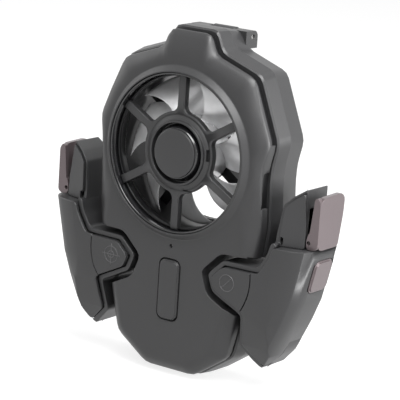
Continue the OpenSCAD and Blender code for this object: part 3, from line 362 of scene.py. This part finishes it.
def spoke_outline(steps=14):
    """The guard's outline for the sixth of a turn round one spoke on the x axis, from -30 to 30 degrees:
    hub circle, a rounded root that touches hub and spoke, the spoke's side and its end, then mirrored."""
    root_z = spoke_half + root
    root_x = math.sqrt((hub_edge + root) ** 2 - root_z ** 2)
    touch = math.atan2(root_z, root_x)
    hub_part = np.linspace(math.pi / 6, touch, steps, endpoint=False)
    hub_line = hub_edge * np.stack([np.cos(hub_part), np.sin(hub_part)], 1)
    turn_in = np.linspace(math.pi + touch, 1.5 * math.pi, steps)
    root_line = np.stack([root_x + root * np.cos(turn_in), root_z + root * np.sin(turn_in)], 1)
    side_x = np.linspace(root_x, spoke_end - tip_round, steps)[1:]
    side_line = np.stack([side_x, np.full_like(side_x, spoke_half)], 1)
    end_z = np.linspace(spoke_half - tip_round, 0, 5)
    end_line = np.stack([np.full_like(end_z, spoke_end), end_z], 1)
    upper = np.concatenate([hub_line, root_line, side_line, end_line])
    lower = upper[-2:0:-1] * (1, -1)
    return np.concatenate([upper, lower])[::-1]


# The whole outline, and at each of its points the way inwards, square to it, and the way outwards from the
# axis. The last value holds the angles at which a rounded edge has its rows.
sixth = spoke_outline()
outline = []
for number in range(6):
    a = math.radians(30 + 60 * number)
    outline.append(sixth @ np.array([[math.cos(a), math.sin(a)], [-math.sin(a), math.cos(a)]]))
outline = np.concatenate(outline)
along = np.roll(outline, -1, 0) - np.roll(outline, 1, 0)
inward = np.stack([-along[:, 1], along[:, 0]], 1) / np.linalg.norm(along, axis=1)[:, None]
inward *= -np.sign((inward * outline).sum(1).mean())
outward_turn = outline / np.linalg.norm(outline, axis=1)[:, None]
edge_turn = np.linspace(0, np.pi / 2, 5)


def guard_row(points, depth):
    """One row of the guard: points of the front plane, all carried to one depth."""
    return np.concatenate([points, np.full((len(points), 1), depth)], 1)


def guard_rows():
    """Rows of the guard from the middle of the recess over the front and round the edge to the middle of
    the back. A row is a circle of a radius, or the outline moved inwards, each at one depth."""
    circles = [(0, 0.005), (groove_r - 0.0003, 0.005), (groove_r, 0.0047), (groove_r, 0.0021),
               (groove_r + 0.0001, 0.00175), (groove_r + 0.00035, 0.0016),
               (collar_r - 0.00035, 0.0016), (collar_r - 0.0001, 0.00175), (collar_r, 0.0021),
               (collar_r, 0.0028), (collar_r + 0.0002, 0.003),
               (0.0152, 0.003), (0.01534, 0.00335), (0.01576, 0.00335), (0.0159, 0.003)]
    made = [guard_row(outward_turn * r, d) for r, d in circles]
    for t in edge_turn:
        made.append(guard_row(outline + inward * front_round * (1 - np.sin(t)),
                              guard_front + front_round * (1 - np.cos(t))))
    for t in edge_turn[::-1]:
        made.append(guard_row(outline + inward * back_round * (1 - np.sin(t)),
                              guard_back - back_round * (1 - np.cos(t))))
    made.append(guard_row(outward_turn * 0, guard_back))
    return np.array(made)


plate = guard_rows()
plate_points = np.stack([plate[..., 0], plate[..., 2] + front_y, plate[..., 1]], -1)
guard = new_piece("fan_guard_moulding", plate_points, woven(len(plate), len(outline), wrap_cols=True),
                  matte_grey, "body")


def pocket(low, high):
    """Corner points and faces of a block between two opposite corners, all faces outwards."""
    x, y, z = np.meshgrid(*([a, b] for a, b in zip(low, high)), indexing="ij")
    faces = [[0, 1, 3, 2], [4, 6, 7, 5], [0, 4, 5, 1], [2, 3, 7, 6], [0, 2, 6, 4], [1, 5, 7, 3]]
    return np.stack([x, y, z], -1).reshape(-1, 3), faces


# Two pockets in the hub's face, a short upright one on the right and a thin level one below. Each is given
# by two opposite corners, and starts in front of the face.
pockets = (((0.0140, -0.031, -0.0012), (0.0155, -0.0256, 0.0036)),
           ((0.0036, -0.031, -0.0152), (0.0078, -0.0260, -0.0146)))
tool_points, tool_faces = [], []
for low, high in pockets:
    points, faces = pocket(low, high)
    tool_faces += (np.array(faces) + len(points) * len(tool_points)).tolist()
    tool_points.append(points)
tool_mesh = bpy.data.meshes.new("pocket_tool")
tool_mesh.from_pydata(np.concatenate(tool_points).tolist(), [], tool_faces)
tool = bpy.data.objects.new("pocket_tool", tool_mesh)
scene.collection.objects.link(tool)
cut = guard.modifiers.new("pockets", "BOOLEAN")
cut.operation = "DIFFERENCE"
cut.solver = "EXACT"
cut.object = tool
cut_mesh = bpy.data.meshes.new_from_object(guard.evaluated_get(bpy.context.evaluated_depsgraph_get()))
guard.modifiers.clear()
guard.data = cut_mesh
bpy.data.objects.remove(tool)
# Painted shade: the rim is moulded with the grey guard, but is given the black so that its inner wall reads
# as the shade inside the duct.
rim_profile = [(0.03108, 0.0047), (0.0312, 0.0045), (0.0314, 0.0044), (0.0317, 0.0044), (0.0319, 0.0045),
               (0.03198, 0.0047), (0.03198, 0.0084), (0.03108, 0.0084)]
rim = turned_piece("fan_guard_rim", rim_profile, black_for_duct_and_shade)
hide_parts("fan_guard")
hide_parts("fan_guard")
plug_profile = [(0, 0.0002), (0.0094, 0.0002), (0.00975, 0.00028), (0.00995, 0.0005), (0.01, 0.0008),
                (0.01, 0.0050), (0, 0.0050)]
plug = turned_piece("hub_plug", plug_profile, matte_grey, closed=False)
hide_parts("hub_cap")
skirt_profile = [(0.01, 0.0010), (0.0102, 0.0010), (0.0104, 0.00115), (0.0109, 0.0021), (0.0113, 0.0034),
                 (0.0115, 0.00495), (0.0122, 0.00495), (0.01225, 0.0049), (0.01225, 0.0050), (0.01, 0.0050)]
turned_piece("hub_skirt", skirt_profile, gloss_black)

# Duct liner: a polished black ring with a full round front edge, which catches the light as a thin line.
# The edge is a half circle about the middle of the ring's thickness.
lip_radius, lip_depth, lip_round = 0.03249, 0.00099, 0.00049
lip_turn = np.linspace(0, np.pi, 9)
liner_profile = ([(lip_radius - lip_round * math.cos(t), lip_depth - lip_round * math.sin(t))
                  for t in lip_turn] + [(0.03298, 0.010), (0.032, 0.010)])
liner = turned_piece("duct_liner", liner_profile, gloss_black, steps=180)
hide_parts("duct_ring")

# Fan: a moulded rotor of seven blades in silver lacquer, pressed on a steel shaft. A ferrite ring in its
# hub turns round a stator wound with copper wire.
silver = plastic("silver_lacquer", (0.95, 0.95, 0.96), 0.26, spread=0.06, size=500.0, depth=0.000004,
                 metal=0.3)

# A blade is a swept plate. u runs from the hub to the tip and w once round the section, so that the place
# along the chord is v = (1 - cos w) / 2. The angle is half a turn less the blade's own turn and less v times
# the chord, plus the sweep times u squared. The depth grows with v and has a belly of sin(pi v) in the
# middle. Half the thickness goes as |sin w| to the power 0.8, and thins to a quarter at the tip.
blade_n, hub_radius, tip_radius, sunk = 7, 0.014, 0.031, 0.0006
sweep, chord, chord_loss, first_turn = 20, 45, 4, 5.7  # degrees
front_depth, blade_depth, belly = 0.0113, 0.008, 0.10
half_thickness, tip_thinning = 0.00045, 0.75
steps_out, steps_round = 15, 40
u = np.linspace(0, 1, steps_out)[:, None]
w = np.linspace(0, 2 * np.pi, steps_round, endpoint=False)[None, :]
v = 0.5 - 0.5 * np.cos(w)
across = np.sign(np.sin(w)) * np.abs(np.sin(w)) ** 0.8
radius = hub_radius - sunk + u * (tip_radius - hub_radius + sunk)
blade_points, blade_quads = [], []
for number in range(blade_n):
    own_turn = number * 360 / blade_n
    angle = np.pi - np.radians(own_turn - sweep * u ** 2 + v * (chord - chord_loss * u) + first_turn)
    thick = half_thickness * across * (1 - tip_thinning * u ** 6)
    deep = front_depth + blade_depth * (v + belly * np.sin(np.pi * v)) + thick
    blade = np.stack([radius * np.cos(angle), deep + front_y, radius * np.sin(angle)], -1)
    blade_points.append(blade.reshape(-1, 3))
    blade_quads.append(woven(steps_out, steps_round, number * steps_out * steps_round, wrap_cols=True))
hub_profile = [(0, -0.0214), (0.0116, -0.0214), (0.0132, -0.02115), (0.0139, -0.0204), (0.014, -0.0195),
               (0.014, -0.0104), (0.0132, -0.0104), (0.0132, -0.0203), (0, -0.0203)]
hub_points = turned(hub_profile)
hub_quads = woven(len(hub_points), len(hub_profile), blade_n * steps_out * steps_round, wrap_rows=True)
rotor_points = np.concatenate(blade_points + [hub_points.reshape(-1, 3)])
rotor_quads = np.concatenate(blade_quads + [hub_quads])
rotor = new_piece("rotor_blades", rotor_points, rotor_quads, silver, "fan")
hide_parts("fan_rotor")
magnet = plastic("magnet_ferrite", (0.03, 0.03, 0.032), 0.6, spread=0.2)
paint(magnet, "rotor_magnet")
copper = plastic("winding_copper", (0.55, 0.23, 0.08), 0.32, spread=0.2, size=3000.0, metal=0.9)
paint(copper, "stator")

# Electronics: the main board with the key's switch, the cell that feeds the fan, the charging socket
# in the chin and the clear lens over the indicator.
board_green = plastic("board_green", (0.01, 0.07, 0.035), 0.35, spread=0.25, size=1200.0, coat=0.3)
paint(board_green, "main_board", "left_board", "right_board")
cell_blue = plastic("battery_wrap", (0.12, 0.2, 0.32), 0.35, spread=0.08)
paint(cell_blue, "battery")
paint(steel, "usb_socket")
lens = plastic("clear_lens", (0.02, 0.02, 0.02), 0.12, spread=0.1, coat=0.5)
paint(lens, "led_lens")
switch_metal = plastic("switch_metal", (0.35, 0.35, 0.34), 0.35, spread=0.2, metal=0.8)
paint(switch_metal, "power_switch", "left_switches", "right_switches")

# Power key: a long key moulded in the same plastic as the cover. It stands just proud of the cover and
# presses the switch on the main board.
eased("power_key", "power_button", matte_grey, 0.0005, segments=3, clamp=False)

# Phone seat: a soft rubber frame glued to the back, where the phone rests. The clamp's pad, the jaws'
# pads and the touch pads are of the same rubber.
rubber = plastic("soft_rubber", (0.02, 0.02, 0.021), 0.75, spread=0.2, size=1500.0, depth=0.00002)
paint(rubber, "seat_pad", "clamp_pad", "left_jaw_pad", "right_jaw_pad")
paint(rubber, "left_touch_pad", "right_touch_pad")

# Top clamp: an arm with a hooked end, moulded in the same plastic as the housing. It turns on a steel
# pin in the rear housing's hinge block.
eased("clamp_arm", "clamp", matte_grey, 0.0004)

# Slides: acetal bushing blocks fixed in the body, and steel rods that the grips carry and that run in
# them. A wound steel spring on each rod pulls the grip back.
bushing = plastic("bushing_plastic", (0.6, 0.59, 0.55), 0.4, spread=0.06)
paint(bushing, "left_rail_block", "right_rail_block")


def coil(middle, start_x, end_x, turns=13, mean_radius=0.00206, wire_radius=0.0002):
    """A wound spring along x: its wire's centre goes round the rod once per turn while x runs from start to
    end, and a circle of the wire's radius is carried along it, in the plane of the axis and the radius."""
    steps_a_turn, steps_round_wire = 24, 8
    t = np.linspace(0, 1, turns * steps_a_turn + 1)[:, None]
    a = 2 * np.pi * turns * t
    b = np.linspace(0, 2 * np.pi, steps_round_wire, endpoint=False)[None, :]
    out = mean_radius + wire_radius * np.cos(b)
    return np.stack([start_x + (end_x - start_x) * t + wire_radius * np.sin(b),
                     middle[0] + out * np.cos(a), middle[1] + out * np.sin(a)], -1)


# The springs are pressed between the rods' heads and the blocks' outer ends as a grip slides out. Each grip
# has an upper and a lower spring, at the top and bottom of the CAD springs' box. The rods of the two sides
# lie at their own depths, so that they pass one behind the other.
slide_travel, spring_in, spring_out, spring_half_height = 0.032, 0.0244, 0.0156, 0.0022
for side, mirror, rod_depth in (("left", -1, 0.0165), ("right", 1, 0.0223)):
    rod_y = rod_depth + front_y
    low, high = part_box(side + "_slide_springs")
    heights = (high[2] - spring_half_height, low[2] + spring_half_height)
    coils = [coil((rod_y, z), -mirror * spring_in, mirror * spring_out) for z in heights]
    rows, cols = coils[0].shape[:2]
    quads = [woven(rows, cols, number * rows * cols, wrap_cols=True) for number in range(len(coils))]
    spring = new_piece(side + "_coil_springs", np.concatenate(coils), np.concatenate(quads),
                       steel, side + "_grip")
    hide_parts(side + "_slide_springs")
    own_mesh(spring)

# Grips: each is a tray and a cap with a horn plate, keys in pearly lacquer and jaws behind the phone's
# edge. The trays carry the rods and are screwed to their caps.
pearl = plastic("pearl_lacquer", (0.125, 0.1, 0.105), 0.3, spread=0.08, size=3500.0, coat=0.2, metal=0.5)
for side in ("left", "right"):
    grip = side + "_grip"
    eased(side + "_jaw", grip, matte_grey, 0.0004)
    eased(side + "_tray", grip, matte_grey, 0.0003, clamp=False)
    eased(side + "_horn_plate", grip, matte_grey, 0.0003, clamp=False)
    eased(side + "_cap", grip, matte_grey, 0.0005, segments=3, clamp=False)
    eased(side + "_icon_key", side + "_key", matte_grey, 0.0003, clamp=False)
    eased(side + "_trigger", side + "_shoulder_trigger", pearl, 0.0008, segments=3)
    eased(side + "_side_button", side + "_button", pearl, 0.0006, segments=3)
    paint(steel, *(f"{side}_{part}" for part in ("trigger_pin", "trigger_spring", "rods", "screws")))

# Signs on the two keys: thin raised lines moulded with the key, a ring with a cross on the left one and a
# ring with a slanted bar on the right one.


def raised_line(centre_line, half_width, height, top_y, closed):
    """A low rounded line: its section is an ellipse of the given half width and height about the key's
    face, and is carried along the centre line of (x, z) points, square to it."""
    step = np.roll(centre_line, -1, 0) - np.roll(centre_line, 1, 0)
    if not closed:
        step[0], step[-1] = centre_line[1] - centre_line[0], centre_line[-1] - centre_line[-2]
    side_way = np.stack([-step[:, 1], step[:, 0]], 1) / np.linalg.norm(step, axis=1)[:, None]
    steps_round_line = 12
    t = np.linspace(0, 2 * np.pi, steps_round_line, endpoint=False)
    flat = centre_line[:, None, :] + side_way[:, None, :] * (half_width * np.cos(t))[None, :, None]
    deep = np.broadcast_to(top_y - height * np.sin(t), flat.shape[:2])
    return np.stack([flat[..., 0], deep, flat[..., 1]], -1)


sign_grey = plastic("sign_grey_plastic", (0.075, 0.075, 0.077), 0.35, spread=0.08)
sign_x, sign_z, line_half_width, line_height = 0.0295, -0.0480, 0.00016, 0.00018
ring_radius, small_radius, cross_half, bar_half = 0.0034, 0.0014, 0.0046, 0.0019
around = np.linspace(0, 2 * np.pi, 64, endpoint=False)
ring = np.stack([np.cos(around), np.sin(around)], 1)
straight = np.linspace(-1, 1, 9)[:, None]
for side, mirror in (("left", -1), ("right", 1)):
    middle = np.array([mirror * sign_x, sign_z])
    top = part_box(side + "_icon_key")[0][1]
    lines = [(middle + ring_radius * ring, True)]
    if side == "left":
        lines += [(middle + straight * np.array([cross_half, 0.0]), False),
                  (middle + straight * np.array([0.0, cross_half]), False),
                  (middle + small_radius * ring, True)]
    else:
        lines += [(middle + straight * np.array([bar_half, bar_half]), False)]
    points, quads, count = [], [], 0
    for line, closed in lines:
        raised = raised_line(line, line_half_width, line_height, top, closed)
        rows, cols = raised.shape[:2]
        points.append(raised.reshape(-1, 3))
        quads.append(woven(rows, cols, count, wrap_rows=closed, wrap_cols=True))
        count += rows * cols
    new_piece(side + "_key_sign", np.concatenate(points), np.concatenate(quads), sign_grey, side + "_key")
